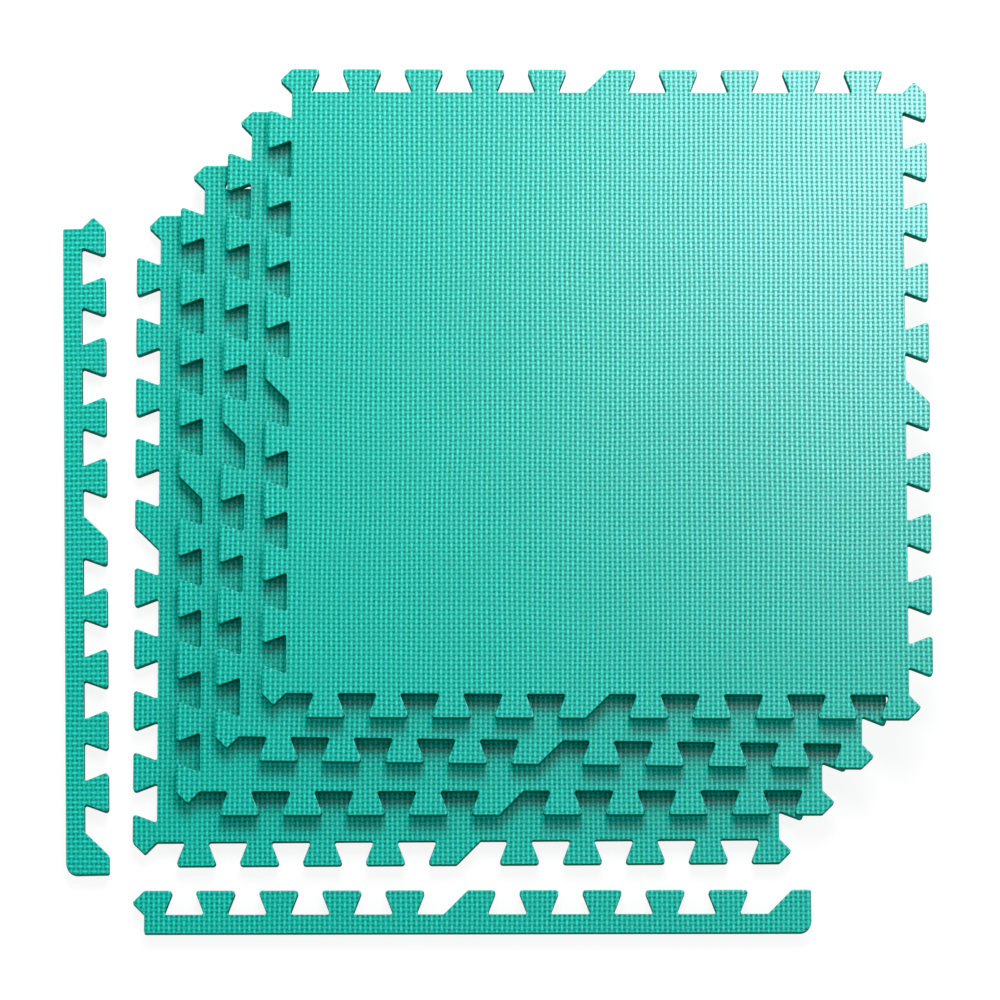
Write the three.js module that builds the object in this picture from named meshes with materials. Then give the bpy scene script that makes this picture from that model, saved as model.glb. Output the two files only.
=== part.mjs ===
// Set of interlocking foam blocking mats: four square tiles lying in a fanned stack,
// and two narrow edge strips lying loose beside them, one along the left side of the
// stack and one along its front. Units are millimetres, +Z is up, the floor is z = 0.
// Every piece is one die-cut sheet of closed-cell foam.
import * as THREE from 'three';

// ---- driving dimensions -------------------------------------------------------------
const MODULE = 600.0;         // pitch of the tiles once they are locked together
const TOOTH = 22.4;           // depth of the locking teeth, root line to tip line
const BODY = MODULE - TOOTH;  // side of the square inside the root lines
const THICK = 12.0;           // thickness of the foam sheet
const PITCH = 58.40;          // tooth to tooth along an edge
const FIRST = 32.96;          // mid-depth position of the first regular flank from mid-edge
const FLARE = 4.3;            // how far a flank leans out over the depth of a tooth, each way from mid-depth
const SNUG = 0.4;            // how much fuller each flank is than half the pitch, so that locked teeth grip
const HALF = TOOTH / 2;       // half the depth: reach of the 45 degree walls
const HEAD_R = 2.8;           // rounding of the outer corners of a tooth
const ROOT_R = 1.8;           // rounding of the inner corners of a notch
const POINT_R = 1.6;          // rounding of the point at each corner of a tile
const BAND = 17.5;            // plain band of an edge strip behind the root line
const STRIP_R = 10.5;         // rounded outer corner of an edge strip
const GAP = 0.3;              // air gap between one mat and the mat it lies on

// Where each piece lies: middle of the BODY square (x, y), turn about +Z in degrees,
// and how many mats are underneath. An edge strip is placed by the square tile whose
// toothed edge it would carry.
const LAYOUT = {
  foam_mat_1_bottom: { x: -15.96, y: -81.36, turn: 0.32, layer: 0 },
  foam_mat_2: { x: 24.91, y: -36.65, turn: 0.13, layer: 1 },
  foam_mat_3: { x: 65.61, y: 8.77, turn: -0.71, layer: 2 },
  foam_mat_4_top: { x: 106.31, y: 50.08, turn: -0.17, layer: 3 },
  edge_strip_left: { x: -664.59, y: -79.01, turn: 1.13 - 90, layer: 0 },
  edge_strip_front: { x: -24.81, y: -727.77, turn: 0.10, layer: 0 },
};

// ---- outline of one toothed edge ------------------------------------------------------
// u runs along the edge from left to right with 0 at mid-edge, v points outwards with
// 0 on the root line. The left half carries teeth where the right half has notches, so
// any edge locks into any other edge, and a 45 degree wall crosses over in the middle.
// Each corner is [u, v, radius, segments].
function toothedEdge() {
  const pts = [];
  const head = (u) => pts.push([u, TOOTH, HEAD_R, 2]);
  const root = (u) => pts.push([u, 0, ROOT_R, 1]);
  // corner tooth, entered from the point at the corner of the tile
  pts.push([-BODY / 2, TOOTH, HEAD_R, 1]);
  for (let n = 8; n >= 0; n -= 1) {
    const u = -(FIRST + n * PITCH / 2);
    if (n % 2 === 0) { head(u + SNUG + FLARE); root(u + SNUG - FLARE); }   // down the right side of a tooth
    else { root(u - SNUG + FLARE); head(u - SNUG - FLARE); }               // up the left side of the next one
  }
  root(-HALF - SNUG);
  head(HALF - SNUG);
  for (let n = 0; n <= 8; n += 1) {
    const u = FIRST + n * PITCH / 2;
    if (n % 2 === 0) { head(u + SNUG + FLARE); root(u + SNUG - FLARE); }
    else { root(u - SNUG + FLARE); head(u - SNUG - FLARE); }
  }
  return pts;
}

// Turn an edge point into plan coordinates for the edge that faces `side` quarter turns
// clockwise from +Y.
function place([u, v, r, n], side) {
  let x = u, y = BODY / 2 + v;
  for (let k = 0; k < side; k += 1) [x, y] = [y, -x];
  return [x, y, r, n];
}

function tileOutline() {
  const out = [];
  for (let side = 0; side < 4; side += 1) {
    out.push(place([-(BODY / 2 + HALF), HALF, POINT_R, 2], side));
    for (const p of toothedEdge()) out.push(place(p, side));
    out.push(place([BODY / 2, 0, ROOT_R, 1], side));
  }
  return out;
}

function stripOutline() {
  const out = [];
  out.push(place([-(BODY / 2 + HALF), HALF, POINT_R, 2], 0));
  for (const p of toothedEdge()) out.push(place(p, 0));
  out.push(place([BODY / 2, 0, ROOT_R, 1], 0));
  out.push(place([BODY / 2 + TOOTH, TOOTH, HEAD_R, 2], 0));
  out.push(place([BODY / 2 + TOOTH + BAND, TOOTH, POINT_R, 2], 0));
  out.push(place([BODY / 2 + TOOTH + BAND, -BAND, STRIP_R, 5], 0));
  out.push(place([-BODY / 2, -BAND, POINT_R, 2], 0));
  out.push(place([-BODY / 2, 0, POINT_R, 1], 0));
  return out;
}

// Round every corner of a closed outline with its own radius.
function rounded(corners) {
  const out = [];
  const count = corners.length;
  for (let i = 0; i < count; i += 1) {
    const [x, y, radius, segs] = corners[i];
    const a = corners[(i + count - 1) % count];
    const b = corners[(i + 1) % count];
    const ax = a[0] - x, ay = a[1] - y, bx = b[0] - x, by = b[1] - y;
    const la = Math.hypot(ax, ay), lb = Math.hypot(bx, by);
    const ux = ax / la, uy = ay / la, wx = bx / lb, wy = by / lb;
    const half = Math.acos(Math.max(-1, Math.min(1, ux * wx + uy * wy))) / 2;
    let cut = radius / Math.tan(half);
    cut = Math.min(cut, 0.45 * la, 0.45 * lb);
    const r = cut * Math.tan(half);
    const mx = ux + wx, my = uy + wy, lm = Math.hypot(mx, my);
    const cx = x + mx / lm * (r / Math.sin(half)), cy = y + my / lm * (r / Math.sin(half));
    const a0 = Math.atan2(y + uy * cut - cy, x + ux * cut - cx);
    const a1 = Math.atan2(y + wy * cut - cy, x + wx * cut - cx);
    let sweep = a1 - a0;
    while (sweep > Math.PI) sweep -= 2 * Math.PI;
    while (sweep < -Math.PI) sweep += 2 * Math.PI;
    for (let k = 0; k <= segs; k += 1) {
      const t = a0 + sweep * k / segs;
      out.push([cx + r * Math.cos(t), cy + r * Math.sin(t)]);
    }
  }
  return out;
}

// Closed solid between z0 and z0 + THICK over an outline, turned and moved into place.
function sheet(corners, { x, y, turn, layer }) {
  const angle = THREE.MathUtils.degToRad(turn);
  const c = Math.cos(angle), s = Math.sin(angle);
  let plan = rounded(corners).map(([px, py]) => new THREE.Vector2(x + px * c - py * s, y + px * s + py * c));
  if (THREE.ShapeUtils.isClockWise(plan)) plan = plan.reverse();
  const tris = THREE.ShapeUtils.triangulateShape(plan, []);
  const z0 = layer * (THICK + GAP), z1 = z0 + THICK;
  const n = plan.length;
  const pos = [];
  for (const p of plan) pos.push(p.x, p.y, z0);
  for (const p of plan) pos.push(p.x, p.y, z1);
  const index = [];
  for (const [i, j, k] of tris) {
    index.push(i, k, j);
    index.push(n + i, n + j, n + k);
  }
  for (let i = 0; i < n; i += 1) {
    const j = (i + 1) % n;
    index.push(i, j, n + j, i, n + j, n + i);
  }
  const g = new THREE.BufferGeometry();
  g.setAttribute('position', new THREE.Float32BufferAttribute(pos, 3));
  g.setIndex(index);
  return g;
}

const FOAM = 0x4fcfae;        // turquoise green foam
const part = new THREE.Group();
part.name = 'foam_blocking_mats';
for (const [name, spot] of Object.entries(LAYOUT)) {
  const outline = name.startsWith('edge_strip') ? stripOutline() : tileOutline();
  const mesh = new THREE.Mesh(sheet(outline, spot), new THREE.MeshStandardMaterial({
    name: name.startsWith('edge_strip') ? 'foam_strip' : 'foam_mat', color: FOAM, roughness: 0.85, metalness: 0 }));
  mesh.name = name;
  part.add(mesh);
}

// Origin in the middle of the footprint of the whole set, on the floor.
const box = new THREE.Box3();
part.children.forEach((m) => { m.geometry.computeBoundingBox(); box.union(m.geometry.boundingBox); });
const mid = box.getCenter(new THREE.Vector3());
part.children.forEach((m) => {
  m.geometry.translate(-mid.x, -mid.y, -box.min.z);
  m.geometry.computeVertexNormals();
});

export default part;
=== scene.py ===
import math

import bpy
import numpy as np
from mathutils import Matrix, Vector
from mathutils.geometry import delaunay_2d_cdt


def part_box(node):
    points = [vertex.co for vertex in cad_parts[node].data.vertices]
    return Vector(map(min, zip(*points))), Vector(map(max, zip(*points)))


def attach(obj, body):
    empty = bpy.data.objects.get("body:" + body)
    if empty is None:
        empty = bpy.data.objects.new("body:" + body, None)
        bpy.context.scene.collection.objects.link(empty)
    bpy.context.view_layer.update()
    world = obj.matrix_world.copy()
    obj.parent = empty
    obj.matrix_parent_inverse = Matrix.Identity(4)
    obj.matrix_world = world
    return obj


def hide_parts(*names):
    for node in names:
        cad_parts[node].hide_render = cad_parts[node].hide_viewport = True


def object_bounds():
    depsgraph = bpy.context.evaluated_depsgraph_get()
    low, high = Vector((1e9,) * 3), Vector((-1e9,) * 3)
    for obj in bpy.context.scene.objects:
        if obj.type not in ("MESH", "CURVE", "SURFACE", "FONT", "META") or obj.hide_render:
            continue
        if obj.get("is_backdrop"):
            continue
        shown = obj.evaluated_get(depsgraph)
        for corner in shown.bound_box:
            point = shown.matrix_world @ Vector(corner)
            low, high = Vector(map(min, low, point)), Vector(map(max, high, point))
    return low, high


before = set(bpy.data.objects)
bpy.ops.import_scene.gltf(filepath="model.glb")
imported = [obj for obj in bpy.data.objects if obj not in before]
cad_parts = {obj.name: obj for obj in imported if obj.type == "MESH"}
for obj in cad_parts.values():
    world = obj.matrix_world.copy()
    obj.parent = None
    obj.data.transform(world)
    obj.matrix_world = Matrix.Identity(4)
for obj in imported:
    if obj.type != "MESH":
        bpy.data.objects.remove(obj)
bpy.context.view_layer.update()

# ------------------------------------------------------------------ camera
scene = bpy.context.scene
cam_data = bpy.data.cameras.new("camera")
cam = bpy.data.objects.new("camera", cam_data)
scene.collection.objects.link(cam)
scene.camera = cam
TILT = math.radians(11.83)
FAR = 5.5346
AIM = Vector((0.00560, 0.00253, 0.0))
cam_data.sensor_width = 36.0
cam_data.lens = 211.72
cam_data.clip_end = 50.0
cam.location = AIM + Vector((0.0, -math.sin(TILT), math.cos(TILT))) * FAR
cam.rotation_euler = (TILT, 0.0, 0.0)

# ------------------------------------------------------------------ outline of a mat and of a strip, in mm
MODULE, TOOTH = 600.0, 22.4
BODY = MODULE - TOOTH
HALF = TOOTH / 2
PITCH, FIRST, FLARE, SNUG = 58.40, 32.96, 4.3, 0.4
BAND = 17.5
HEAD_R, ROOT_R, POINT_R, STRIP_R = 2.8, 1.8, 1.6, 10.5
COL, ROW = 4.66, 4.25          # pitch of the embossed weave, across and along
STEP = 2.3                     # longest step along the outline


def toothed_edge():
    pts = [(-BODY / 2, TOOTH, HEAD_R, 3)]
    head = lambda u: pts.append((u, TOOTH, HEAD_R, 5))
    root = lambda u: pts.append((u, 0.0, ROOT_R, 4))
    for n in range(8, -1, -1):
        u = -(FIRST + n * PITCH / 2)
        if n % 2 == 0:
            head(u + SNUG + FLARE); root(u + SNUG - FLARE)
        else:
            root(u - SNUG + FLARE); head(u - SNUG - FLARE)
    root(-HALF - SNUG)
    head(HALF - SNUG)
    for n in range(9):
        u = FIRST + n * PITCH / 2
        if n % 2 == 0:
            head(u + SNUG + FLARE); root(u + SNUG - FLARE)
        else:
            root(u - SNUG + FLARE); head(u - SNUG - FLARE)
    return pts


def place(p, side):
    x, y = p[0], BODY / 2 + p[1]
    for _ in range(side):
        x, y = y, -x
    return (x, y, p[2], p[3])


def tile_outline():
    out = []
    for side in range(4):
        out.append(place((-(BODY / 2 + HALF), HALF, POINT_R, 4), side))
        out += [place(p, side) for p in toothed_edge()]
        out.append(place((BODY / 2, 0.0, ROOT_R, 3), side))
    return out


def strip_outline():
    out = [place((-(BODY / 2 + HALF), HALF, POINT_R, 4), 0)]
    out += [place(p, 0) for p in toothed_edge()]
    out.append(place((BODY / 2, 0.0, ROOT_R, 3), 0))
    out.append(place((BODY / 2 + TOOTH, TOOTH, HEAD_R, 5), 0))
    out.append(place((BODY / 2 + TOOTH + BAND, TOOTH, POINT_R, 4), 0))
    out.append(place((BODY / 2 + TOOTH + BAND, -BAND, STRIP_R, 10), 0))
    out.append(place((-BODY / 2, -BAND, POINT_R, 4), 0))
    out.append(place((-BODY / 2, 0.0, POINT_R, 3), 0))
    return out


def rounded(corners):
    out = []
    count = len(corners)
    for i in range(count):
        x, y, radius, segs = corners[i]
        a, b = corners[i - 1], corners[(i + 1) % count]
        ax, ay, bx, by = a[0] - x, a[1] - y, b[0] - x, b[1] - y
        la, lb = math.hypot(ax, ay), math.hypot(bx, by)
        ux, uy, wx, wy = ax / la, ay / la, bx / lb, by / lb
        half = math.acos(max(-1, min(1, ux * wx + uy * wy))) / 2
        cut = min(radius / math.tan(half), 0.45 * la, 0.45 * lb)
        r = cut * math.tan(half)
        mx, my = ux + wx, uy + wy
        lm = math.hypot(mx, my)
        cx, cy = x + mx / lm * (r / math.sin(half)), y + my / lm * (r / math.sin(half))
        a0 = math.atan2(y + uy * cut - cy, x + ux * cut - cx)
        a1 = math.atan2(y + wy * cut - cy, x + wx * cut - cx)
        sweep = a1 - a0
        while sweep > math.pi:
            sweep -= 2 * math.pi
        while sweep < -math.pi:
            sweep += 2 * math.pi
        for k in range(segs + 1):
            t = a0 + sweep * k / segs
            out.append((cx + r * math.cos(t), cy + r * math.sin(t)))
    return np.array(out)


def resampled(poly, step):
    """The closed outline with its long straights cut into steps, running anticlockwise."""
    nxt = np.roll(poly, -1, 0)
    out = []
    for p, q in zip(poly, nxt):
        n = max(1, int(math.ceil(np.hypot(*(q - p)) / step)))
        for k in range(n):
            out.append(p + (q - p) * k / n)
    out = np.array(out)
    x, y = out[:, 0], out[:, 1]
    if (x * np.roll(y, -1) - np.roll(x, -1) * y).sum() < 0:
        out = out[::-1]
    return np.ascontiguousarray(out)


def inward(poly):
    """Unit normals of an anticlockwise outline, pointing into the foam."""
    e = np.roll(poly, -1, 0) - poly
    e /= np.linalg.norm(e, axis=1)[:, None]
    n = np.stack([-e[:, 1], e[:, 0]], 1)
    m = n + np.roll(n, 1, 0)
    m /= np.linalg.norm(m, axis=1)[:, None]
    return m / np.clip((m * n).sum(1), 0.6, 1)[:, None]


# ------------------------------------------------------------------ the weave's own coordinates
def drift(x, y, seed):
    """How far the embossed weave wanders from straight lines, in mm."""
    rng = np.random.default_rng(seed)
    dx, dy = np.zeros_like(x), np.zeros_like(y)
    for wave, amp in ((210, 0.8), (120, 0.45), (63, 0.22)):
        for _ in range(3):
            a, ph1, ph2 = rng.uniform(0, 2 * math.pi, 3)
            s = (x * math.cos(a) + y * math.sin(a)) * 2 * math.pi / wave
            dx += amp / 3 * np.sin(s + ph1)
            dy += amp / 3 * np.sin(s + ph2)
    return dx, dy


def weave_of(x, y, seed):
    dx, dy = drift(x, y, seed)
    return (x + dx) / COL, (y + dy) / ROW


def from_weave(u, v, seed):
    x, y = u * COL, v * ROW
    for _ in range(4):
        dx, dy = drift(x, y, seed)
        x, y = u * COL - dx, v * ROW - dy
    return x, y


def relief(u, v):
    """Crowns of the strands at +1, pits between them at -1."""
    return (np.cos(2 * math.pi * u) + np.cos(2 * math.pi * v)) / 2


def inside_rows(poly, us, vs):
    """inside[j, i]: is (us[i], vs[j]) inside the closed outline?"""
    a, b = poly, np.roll(poly, -1, 0)
    out = np.zeros((len(vs), len(us)), bool)
    for j, v in enumerate(vs):
        hit = (a[:, 1] > v) != (b[:, 1] > v)
        p, q = a[hit], b[hit]
        xs = np.sort(p[:, 0] + (v - p[:, 1]) * (q[:, 0] - p[:, 0]) / (q[:, 1] - p[:, 1]))
        out[j] = np.searchsorted(xs, us) % 2 == 1
    return out


THICK = 12.0
# inset from the cut outline and height, from the patterned face round to the underside
RINGS = [(1.3, "top"), (0.7, "top"), (0.24, THICK - 0.20), (0.03, THICK - 0.75), (0.16, THICK * 0.68),
         (0.22, THICK * 0.46), (0.12, THICK * 0.22), (0.0, 0.6), (0.16, 0.16), (0.6, 0.0)]
CROWN = 0.12                   # mm the strands stand above and below the mean face


def foam_shape(outline, seed):
    """Vertices in mm (face down at z = 0, patterned face up), faces, kinds and the weave's coordinates."""
    edge = resampled(rounded(outline), STEP)
    nrm = inward(edge)
    verts, weave = [], []
    n = len(edge)
    top_z = THICK - 0.1
    for inset, z in RINGS:
        p = edge + nrm * inset
        u, v = weave_of(p[:, 0], p[:, 1], seed)
        h = top_z + CROWN * relief(u, v) if z == "top" else np.full(n, z)
        if z == "top" and inset < 1:
            h = top_z - 0.02 + CROWN * 0.8 * relief(u, v)
        verts.append(np.column_stack([p, h]))
        weave.append(np.column_stack([u, v]))
    faces, kinds = [], []
    i0 = np.arange(n)
    i1 = (i0 + 1) % n
    for k in range(len(RINGS) - 1):
        a, b = k * n, (k + 1) * n
        # outline runs anticlockwise: outer ring is further out (k + 1), so wind for outward normals
        quad = np.stack([a + i0, b + i0, b + i1, a + i1], 1)
        faces.append(quad)
        kinds += [0 if k < 2 else 1] * n if k < len(RINGS) - 2 else [2] * n
    base = len(RINGS) * n
    # patterned face: half-cell grid well inside the first ring
    u, v = weave[0][:, 0], weave[0][:, 1]
    keep = edge + nrm * (RINGS[0][0] + 0.9)
    ku, kv = weave_of(keep[:, 0], keep[:, 1], seed)
    lo_u, hi_u = math.floor(u.min() * 2) / 2, math.ceil(u.max() * 2) / 2
    lo_v, hi_v = math.floor(v.min() * 2) / 2, math.ceil(v.max() * 2) / 2
    us = np.arange(lo_u, hi_u + 0.25, 0.5)
    vs = np.arange(lo_v, hi_v + 0.25, 0.5)
    ok = inside_rows(np.column_stack([ku, kv]), us + 1e-7, vs + 1e-7)
    cell = ok[:-1, :-1] & ok[1:, :-1] & ok[:-1, 1:] & ok[1:, 1:]
    # single-cell specks and necks are dropped so that the rim is a plain closed path
    for _ in range(3):
        p = np.pad(cell, 1)
        horiz = p[1:-1, :-2] | p[1:-1, 2:]
        vert = p[:-2, 1:-1] | p[2:, 1:-1]
        cell = cell & horiz & vert
        # no two kept cells may touch only at a corner
        p = np.pad(cell, 1)
        a, b, c, d = p[:-1, :-1], p[:-1, 1:], p[1:, :-1], p[1:, 1:]
        pinch1 = a & d & ~b & ~c
        pinch2 = b & c & ~a & ~d
        jj, ii = np.nonzero(pinch1)
        for j, i in zip(jj, ii):
            p[j, i] = False
        jj, ii = np.nonzero(pinch2)
        for j, i in zip(jj, ii):
            p[j, i + 1] = False
        cell = p[1:-1, 1:-1]
    used = np.zeros(ok.shape, bool)
    used[:-1, :-1] |= cell
    used[1:, :-1] |= cell
    used[:-1, 1:] |= cell
    used[1:, 1:] |= cell
    index = np.full(ok.shape, -1, np.int64)
    index[used] = base + np.arange(used.sum())
    jj, ii = np.nonzero(used)
    gu, gv = us[ii], vs[jj]
    gx, gy = from_weave(gu, gv, seed)
    verts.append(np.column_stack([gx, gy, top_z + CROWN * relief(gu, gv)]))
    weave.append(np.column_stack([gu, gv]))
    cj, ci = np.nonzero(cell)
    quad = np.stack([index[cj, ci], index[cj, ci + 1], index[cj + 1, ci + 1], index[cj + 1, ci]], 1)
    faces.append(quad)
    kinds += [0] * len(quad)
    # the band between the grid and the first ring
    cp = np.pad(cell, 1)
    edges = []
    for (dj, di, p0, p1) in ((-1, 0, (0, 0), (0, 1)), (1, 0, (1, 0), (1, 1)), (0, -1, (0, 0), (1, 0)), (0, 1, (0, 1), (1, 1))):
        nb = cp[1 + dj:cp.shape[0] - 1 + dj, 1 + di:cp.shape[1] - 1 + di]
        ej, ei = np.nonzero(cell & ~nb)
        edges.append(np.stack([index[ej + p0[0], ei + p0[1]], index[ej + p1[0], ei + p1[1]]], 1))
    edges = np.concatenate(edges)
    all_weave = np.concatenate(weave)
    rim = np.unique(edges)
    local = {int(g): k for k, g in enumerate(rim)}
    pts = [Vector(all_weave[g]) for g in rim]
    cons = [(local[int(a)], local[int(b)]) for a, b in edges]
    off = len(pts)
    pts += [Vector(w) for w in weave[0]]
    cons += [(off + k, off + (k + 1) % n) for k in range(n)]
    back = [int(g) for g in rim] + list(range(n))
    res = delaunay_2d_cdt(pts, cons, [], 0, 1e-9)
    out_v, out_f, orig = res[0], res[2], res[3]
    if len(out_v) != len(pts):
        raise RuntimeError("the rim of the patterned face crosses itself")
    src = [back[o[0]] for o in orig]
    tri = np.array([f for f in out_f if len(f) == 3])
    co = np.array([(p.x, p.y) for p in out_v])
    mid = co[tri].mean(1)
    poly = weave[0]
    a, b = poly, np.roll(poly, -1, 0)
    inside = np.zeros(len(mid), bool)
    for k0 in range(0, len(mid), 2000):
        m = mid[k0:k0 + 2000]
        cross = (a[None, :, 1] > m[:, None, 1]) != (b[None, :, 1] > m[:, None, 1])
        with np.errstate(divide="ignore", invalid="ignore"):
            xx = a[None, :, 0] + (m[:, None, 1] - a[None, :, 1]) * (b[None, :, 0] - a[None, :, 0]) / (b[None, :, 1] - a[None, :, 1])
        inside[k0:k0 + 2000] = ((cross & (xx > m[:, None, 0])).sum(1) % 2) == 1
    mj = np.clip(((mid[:, 1] - lo_v) * 2).astype(int), 0, cell.shape[0] - 1)
    mi = np.clip(((mid[:, 0] - lo_u) * 2).astype(int), 0, cell.shape[1] - 1)
    ring_tri = tri[inside & ~cell[mj, mi]]
    s = np.array(src)[ring_tri]
    pa, pb, pc = (all_weave[s[:, k]] for k in range(3))
    area = (pb[:, 0] - pa[:, 0]) * (pc[:, 1] - pa[:, 1]) - (pc[:, 0] - pa[:, 0]) * (pb[:, 1] - pa[:, 1])
    s[area < 0] = s[area < 0][:, ::-1]
    s = s[np.abs(area) > 1e-12]
    tris = [s]
    tri_kinds = [0] * len(s)
    # underside
    last = len(RINGS) - 1
    under = verts[last][:, :2]
    grid = np.arange(-300, 301, 24.0)
    gx, gy = np.meshgrid(grid, grid)
    gx, gy = gx.ravel(), gy.ravel()
    inner = edge + nrm * 6
    a, b = inner, np.roll(inner, -1, 0)
    m = np.column_stack([gx, gy])
    cross = (a[None, :, 1] > m[:, None, 1]) != (b[None, :, 1] > m[:, None, 1])
    with np.errstate(divide="ignore", invalid="ignore"):
        xx = a[None, :, 0] + (m[:, None, 1] - a[None, :, 1]) * (b[None, :, 0] - a[None, :, 0]) / (b[None, :, 1] - a[None, :, 1])
    m = m[((cross & (xx > m[:, None, 0])).sum(1) % 2) == 1]
    count = sum(len(x) for x in verts)
    verts.append(np.column_stack([m, np.zeros(len(m))]))
    u2, v2 = weave_of(m[:, 0], m[:, 1], seed)
    weave.append(np.column_stack([u2, v2]))
    pts = [Vector(p) for p in under] + [Vector(p) for p in m]
    back = [last * n + k for k in range(n)] + [count + k for k in range(len(m))]
    res = delaunay_2d_cdt(pts, [(k, (k + 1) % n) for k in range(n)], [], 0, 1e-9)
    if len(res[0]) != len(pts):
        raise RuntimeError("the underside crosses itself")
    src = np.array([back[o[0]] for o in res[3]])
    tri = np.array([f for f in res[2] if len(f) == 3])
    co = np.array([(p.x, p.y) for p in res[0]])
    mid = co[tri].mean(1)
    a, b = under, np.roll(under, -1, 0)
    inside = np.zeros(len(mid), bool)
    for k0 in range(0, len(mid), 2000):
        mm = mid[k0:k0 + 2000]
        cross = (a[None, :, 1] > mm[:, None, 1]) != (b[None, :, 1] > mm[:, None, 1])
        with np.errstate(divide="ignore", invalid="ignore"):
            xx = a[None, :, 0] + (mm[:, None, 1] - a[None, :, 1]) * (b[None, :, 0] - a[None, :, 0]) / (b[None, :, 1] - a[None, :, 1])
        inside[k0:k0 + 2000] = ((cross & (xx > mm[:, None, 0])).sum(1) % 2) == 1
    tri = tri[inside]
    p0, p1, p2 = (co[tri[:, k]] for k in range(3))
    area = (p1[:, 0] - p0[:, 0]) * (p2[:, 1] - p0[:, 1]) - (p2[:, 0] - p0[:, 0]) * (p1[:, 1] - p0[:, 1])
    tri[area > 0] = tri[area > 0][:, ::-1]
    tri = tri[np.abs(area) > 1e-9]
    tris.append(src[tri])
    tri_kinds += [2] * len(tri)
    return (np.concatenate(verts), np.concatenate(faces), np.concatenate(tris),
            np.array(kinds + tri_kinds, np.int32), np.concatenate(weave), edge)


def make_mesh(name, shape, materials):
    verts, quads, tris, kinds, weave, _ = shape
    me = bpy.data.meshes.new(name)
    me.vertices.add(len(verts))
    me.vertices.foreach_set("co", (verts / 1000).astype(np.float32).ravel())
    loops = np.concatenate([quads.ravel(), tris.ravel()]).astype(np.int32)
    me.loops.add(len(loops))
    me.loops.foreach_set("vertex_index", loops)
    starts = np.concatenate([np.arange(len(quads)) * 4, len(quads) * 4 + np.arange(len(tris)) * 3]).astype(np.int32)
    me.polygons.add(len(starts))
    me.polygons.foreach_set("loop_start", starts)
    me.polygons.foreach_set("material_index", kinds)
    me.update(calc_edges=True)
    me.validate()
    w = me.attributes.new("weave", "FLOAT_VECTOR", "POINT")
    w.data.foreach_set("vector", np.column_stack([weave, verts[:, 2] / THICK]).astype(np.float32).ravel())
    l = me.attributes.new("place", "FLOAT_VECTOR", "POINT")
    l.data.foreach_set("vector", (verts / 1000).astype(np.float32).ravel())
    for m in materials:
        me.materials.append(m)
    me.polygons.foreach_set("use_smooth", np.ones(len(starts), bool))
    me.update()
    return me


# ------------------------------------------------------------------ materials
class Nodes:
    """Small helper for writing node trees as expressions."""

    def __init__(self, name):
        self.mat = bpy.data.materials.new(name)
        self.mat.use_nodes = True
        self.t = self.mat.node_tree
        self.t.nodes.clear()
        self.out = self.t.nodes.new("ShaderNodeOutputMaterial")
        self.bsdf = self.t.nodes.new("ShaderNodeBsdfPrincipled")
        self.t.links.new(self.bsdf.outputs["BSDF"], self.out.inputs["Surface"])

    def node(self, kind, **props):
        n = self.t.nodes.new(kind)
        for k, v in props.items():
            setattr(n, k, v)
        return n

    def put(self, socket, value):
        if isinstance(value, bpy.types.NodeSocket):
            self.t.links.new(value, socket)
        else:
            socket.default_value = value

    def math(self, op, a, b=None, c=None, clamp=False):
        n = self.node("ShaderNodeMath", operation=op, use_clamp=clamp)
        for k, x in enumerate((a, b, c)):
            if x is not None:
                self.put(n.inputs[k], x)
        return n.outputs[0]

    def attr(self, name):
        n = self.node("ShaderNodeAttribute", attribute_name=name)
        n.attribute_type = "GEOMETRY"
        return n.outputs["Vector"]

    def split(self, vec):
        n = self.node("ShaderNodeSeparateXYZ")
        self.put(n.inputs[0], vec)
        return n.outputs[0], n.outputs[1], n.outputs[2]

    def noise(self, vec, scale, detail=2.0, rough=0.5):
        n = self.node("ShaderNodeTexNoise")
        self.put(n.inputs["Vector"], vec)
        n.inputs["Scale"].default_value = scale
        n.inputs["Detail"].default_value = detail
        n.inputs["Roughness"].default_value = rough
        return n.outputs["Fac"]

    def remap(self, x, a, b, c, d):
        n = self.node("ShaderNodeMapRange")
        n.clamp = True
        self.put(n.inputs[0], x)
        for k, val in enumerate((a, b, c, d)):
            self.put(n.inputs[k + 1], val)
        return n.outputs[0]

    def mix(self, f, a, b):
        n = self.node("ShaderNodeMix", data_type="RGBA")
        self.put(n.inputs["Factor"], f)
        self.put(n.inputs[6], a)
        self.put(n.inputs[7], b)
        return n.outputs[2]

    def bump(self, height, distance, strength=1.0, normal=None):
        n = self.node("ShaderNodeBump")
        n.inputs["Strength"].default_value = strength
        n.inputs["Distance"].default_value = distance
        self.put(n.inputs["Height"], height)
        if normal is not None:
            self.put(n.inputs["Normal"], normal)
        return n.outputs["Normal"]


# the darkest of these is painted shade for the weave's pits and the palest a painted highlight for its crowns; the
# middle one is the foam's own tone
PIT_SHADE, MIDDLE, CREST_HIGHLIGHT = (0.0003, 0.14, 0.102, 1), (0.002, 0.41, 0.32, 1), (0.005, 0.86, 0.72, 1)
ROUGH = 0.26


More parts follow.
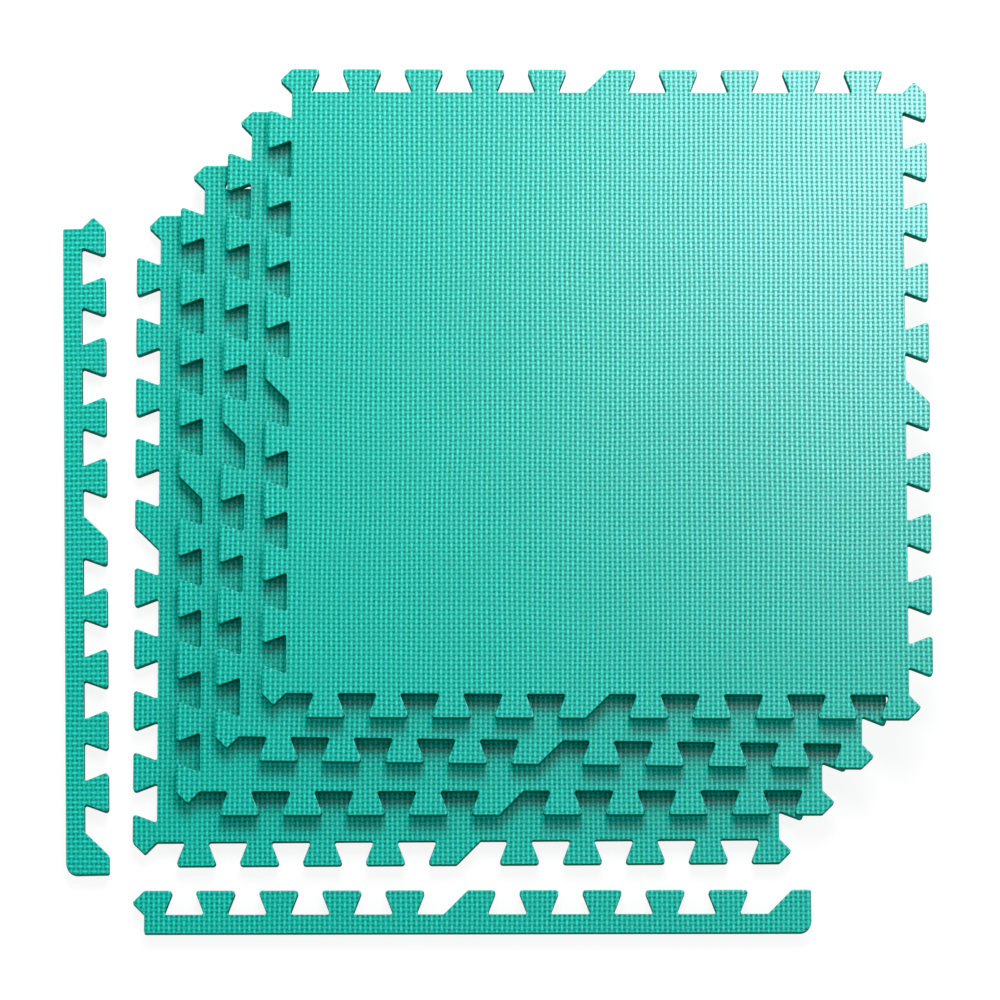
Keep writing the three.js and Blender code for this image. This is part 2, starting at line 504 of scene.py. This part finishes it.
def foam_top(name):
    """Patterned face: a plain weave pressed into the foam skin."""
    g = Nodes(name)
    place_v = g.attr("place")
    u, v, _ = g.split(g.attr("weave"))
    cu, cv = (g.math("COSINE", g.math("MULTIPLY", w, math.pi)) for w in (u, v))
    su, sv = g.math("SIGN", cu), g.math("SIGN", cv)
    # distance from the middle of the nearest strand, in cells
    a = g.math("ABSOLUTE", g.math("SUBTRACT", u, g.math("ROUND", u)))
    b = g.math("ABSOLUTE", g.math("SUBTRACT", v, g.math("ROUND", v)))
    # round-backed strands, narrower than the cell so that a pit is left between four of them
    wa = g.remap(g.math("POWER", g.math("MULTIPLY", a, 1 / 0.38), 1.8), 0.0, 1.0, 1.0, 0.0)
    wb = g.remap(g.math("POWER", g.math("MULTIPLY", b, 1 / 0.38), 1.9), 0.0, 1.0, 1.0, 0.0)
    # strands along Y ride over every second crossing, strands along X over the others
    over_y = g.math("MULTIPLY", cv, su)
    over_x = g.math("MULTIPLY", g.math("MULTIPLY", cu, sv), -1.0)
    hy = g.math("MULTIPLY", wa, g.math("MULTIPLY_ADD", over_y, 0.29, 0.67))
    hx = g.math("MULTIPLY", wb, g.math("MULTIPLY_ADD", over_x, 0.21, 0.51))
    h = g.math("MAXIMUM", hy, hx)
    grain = g.noise(place_v, 900.0, 3.0, 0.6)
    blotch = g.noise(place_v, 9.0, 3.0, 0.5)
    fine = g.noise(place_v, 160.0, 2.0, 0.5)
    # colour by the height of the weave: darker in the pits is painted shade, paler on the crowns is a painted
    # highlight, the strands between keep the foam's middle tone
    pit_shade_colour = g.mix(g.remap(h, 0.0, 0.45, 0.0, 1.0), PIT_SHADE, MIDDLE)
    full = g.mix(g.remap(h, 0.45, 0.95, 0.0, 1.0), pit_shade_colour, CREST_HIGHLIGHT)
    tone = g.remap(blotch, 0.3, 0.7, 0.0, 1.0)
    patch = g.noise(place_v, 55.0, 2.0, 0.6)
    full2 = g.mix(g.math("MULTIPLY", tone, 0.10), full, (0.002, 0.28, 0.21, 1))
    full2 = g.mix(g.remap(patch, 0.30, 0.62, 0.30, 0.0), full2, MIDDLE)
    full3 = g.mix(g.math("MULTIPLY", g.remap(fine, 0.35, 0.75, 0.0, 1.0), 0.14), full2, (0.01, 0.66, 0.54, 1))
    g.put(g.bsdf.inputs["Base Color"], full3)
    g.put(g.bsdf.inputs["Roughness"], g.math("MULTIPLY_ADD", grain, 0.10, ROUGH))
    # the rubbed crests shine, the pits hardly do
    g.bsdf.inputs["Specular IOR Level"].default_value = 0.7
    g.put(g.bsdf.inputs["Specular IOR Level"], g.remap(h, 0.20, 0.80, 0.18, 0.90))
    height = g.math("MULTIPLY_ADD", grain, 0.05, h)
    g.put(g.bsdf.inputs["Normal"], g.bump(height, 0.00018, 0.5))
    return g.mat


def foam_cut(name):
    """Die-cut side: opened foam cells with faint vertical drag marks, in a green far darker than the patterned
    face, which is painted shade.
    """
    g = Nodes(name)
    place_v = g.attr("place")
    cells = g.node("ShaderNodeTexVoronoi")
    g.put(cells.inputs["Vector"], place_v)
    cells.inputs["Scale"].default_value = 1500.0
    grain = g.noise(place_v, 700.0, 3.0, 0.6)
    st = g.node("ShaderNodeVectorMath", operation="MULTIPLY")
    g.put(st.inputs[0], place_v)
    st.inputs[1].default_value = (1.0, 1.0, 0.08)
    drag = g.noise(st.outputs[0], 420.0, 2.0, 0.5)
    soft = g.noise(place_v, 30.0, 2.0, 0.5)
    # the walls' dark green is painted shade, standing in for the shade that falls on the cut sides, with a speckle
    # of foam grain over it
    col = g.mix(g.remap(grain, 0.3, 0.75, 0.0, 1.0), (0.0005, 0.115, 0.08, 1), (0.0015, 0.19, 0.132, 1))
    col = g.mix(g.math("MULTIPLY", g.remap(soft, 0.35, 0.7, 0.0, 1.0), 0.3), col, (0.0005, 0.075, 0.05, 1))
    g.put(g.bsdf.inputs["Base Color"], col)
    g.put(g.bsdf.inputs["Roughness"], g.math("MULTIPLY_ADD", grain, 0.2, 0.68))
    g.bsdf.inputs["Specular IOR Level"].default_value = 0.1
    hgt = g.math("ADD", g.math("MULTIPLY", cells.outputs["Distance"], 0.5), g.math("MULTIPLY", drag, 0.6))
    g.put(g.bsdf.inputs["Normal"], g.bump(hgt, 0.00012, 0.6))
    return g.mat


def foam_under(name):
    """Underside: smooth moulded skin with a fine pebble."""
    g = Nodes(name)
    place_v = g.attr("place")
    peb = g.node("ShaderNodeTexVoronoi", feature="SMOOTH_F1")
    g.put(peb.inputs["Vector"], place_v)
    peb.inputs["Scale"].default_value = 620.0
    peb.inputs["Smoothness"].default_value = 0.6
    grain = g.noise(place_v, 1100.0, 2.0, 0.5)
    blotch = g.noise(place_v, 11.0, 3.0, 0.5)
    col = g.mix(g.remap(blotch, 0.3, 0.7, 0.0, 1.0), (0.014, 0.36, 0.26, 1), (0.020, 0.42, 0.31, 1))
    col = g.mix(g.math("MULTIPLY", g.remap(peb.outputs["Distance"], 0.0, 0.6, 1.0, 0.0), 0.2), col, (0.008, 0.28, 0.20, 1))
    g.put(g.bsdf.inputs["Base Color"], col)
    g.put(g.bsdf.inputs["Roughness"], g.math("MULTIPLY_ADD", grain, 0.16, 0.48))
    g.bsdf.inputs["Specular IOR Level"].default_value = 0.4
    g.put(g.bsdf.inputs["Normal"], g.bump(peb.outputs["Distance"], 0.00018, 0.5))
    return g.mat


# ------------------------------------------------------------------ pieces
PIECES = {
    "foam_mat_1_bottom": ("bottom_mat", "foam_mat", 0.32, 11),
    "foam_mat_2": ("second_mat", "foam_mat", 0.13, 23),
    "foam_mat_3": ("third_mat", "foam_mat", -0.71, 37),
    "foam_mat_4_top": ("top_mat", "foam_mat", -0.17, 41),
    "edge_strip_left": ("left_strip", "foam_strip", 1.13 - 90, 53),
    "edge_strip_front": ("front_strip", "foam_strip", 0.1, 67),
}
top_mat = foam_top("foam_weave")
cut_mat = foam_cut("foam_cut_side")
under_mat = foam_under("foam_underside")
foam = {}
for node, (body, slot, turn, seed) in PIECES.items():
    outline = strip_outline() if "strip" in node else tile_outline()
    shape = foam_shape(outline, seed)
    me = make_mesh(node + "_foam", shape, [top_mat, cut_mat, under_mat])
    ob = bpy.data.objects.new(node + "_foam", me)
    scene.collection.objects.link(ob)
    spin = Matrix.Rotation(math.radians(turn), 4, "Z")
    edge = shape[5] / 1000
    c, s = math.cos(math.radians(turn)), math.sin(math.radians(turn))
    ex, ey = edge[:, 0] * c - edge[:, 1] * s, edge[:, 0] * s + edge[:, 1] * c
    lo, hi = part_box(node)
    at = Vector(((lo[0] + hi[0]) / 2 - (ex.min() + ex.max()) / 2, (lo[1] + hi[1]) / 2 - (ey.min() + ey.max()) / 2, lo[2]))
    me.transform(Matrix.Translation(at) @ spin)
    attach(ob, body)
    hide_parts(node)
    foam[node] = ob

# ------------------------------------------------------------------ floor and light
me = bpy.data.meshes.new("floor")
R = 12.0
me.from_pydata([(-R, -R, 0), (R, -R, 0), (R, R, 0), (-R, R, 0)], [], [(0, 1, 2, 3)])
floor = bpy.data.objects.new("floor", me)
floor.location.z = -0.0002
scene.collection.objects.link(floor)
g = Nodes("floor_white")
g.bsdf.inputs["Base Color"].default_value = (0.16, 0.16, 0.16, 1)
g.bsdf.inputs["Roughness"].default_value = 0.9
g.bsdf.inputs["Specular IOR Level"].default_value = 0.1
g.bsdf.inputs["Emission Color"].default_value = (1, 1, 1, 1)
g.bsdf.inputs["Emission Strength"].default_value = 0.87
me.materials.append(g.mat)
floor.visible_glossy = False
floor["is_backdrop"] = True


def area(name, loc, target, size, power, color=(1, 1, 1)):
    d = bpy.data.lights.new(name, "AREA")
    if isinstance(size, tuple):
        d.shape, d.size, d.size_y = "RECTANGLE", size[0], size[1]
    else:
        d.shape, d.size = "DISK", size
    d.energy = power
    d.color = color
    o = bpy.data.objects.new(name, d)
    o.location = loc
    o.rotation_euler = (Vector(target) - Vector(loc)).to_track_quat("-Z", "Y").to_euler()
    scene.collection.objects.link(o)
    return o


key = area("key", (0.08, 1.90, 1.90), (0.05, 0.10, 0.0), 1.5, 60)
key.visible_glossy = False
# a pale soft box that only puts the sheen on the foam skin
sheen = area("sheen", (0.82, 1.19, 2.50), (0.10, 0.05, 0.0), 1.00, 56, (0.95, 0.92, 1.12))
sheen.visible_diffuse = False
world = bpy.data.worlds.new("world")
scene.world = world
world.use_nodes = True
world.cycles_visibility.glossy = False
wt = world.node_tree
# an even tent of light, darker straight overhead
ray = wt.nodes.new("ShaderNodeTexCoord")
sep = wt.nodes.new("ShaderNodeSeparateXYZ")
wt.links.new(ray.outputs["Generated"], sep.inputs[0])
ramp = wt.nodes.new("ShaderNodeMapRange")
ramp.interpolation_type = "SMOOTHSTEP"
for k, val in enumerate((0.50, 0.92, 1.10, 0.070)):
    ramp.inputs[k + 1].default_value = val
wt.links.new(sep.outputs[2], ramp.inputs[0])
wt.nodes["Background"].inputs[0].default_value = (1, 1, 1, 1)
wt.links.new(ramp.outputs[0], wt.nodes["Background"].inputs[1])
scene.view_settings.view_transform = "Standard"

lo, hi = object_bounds()
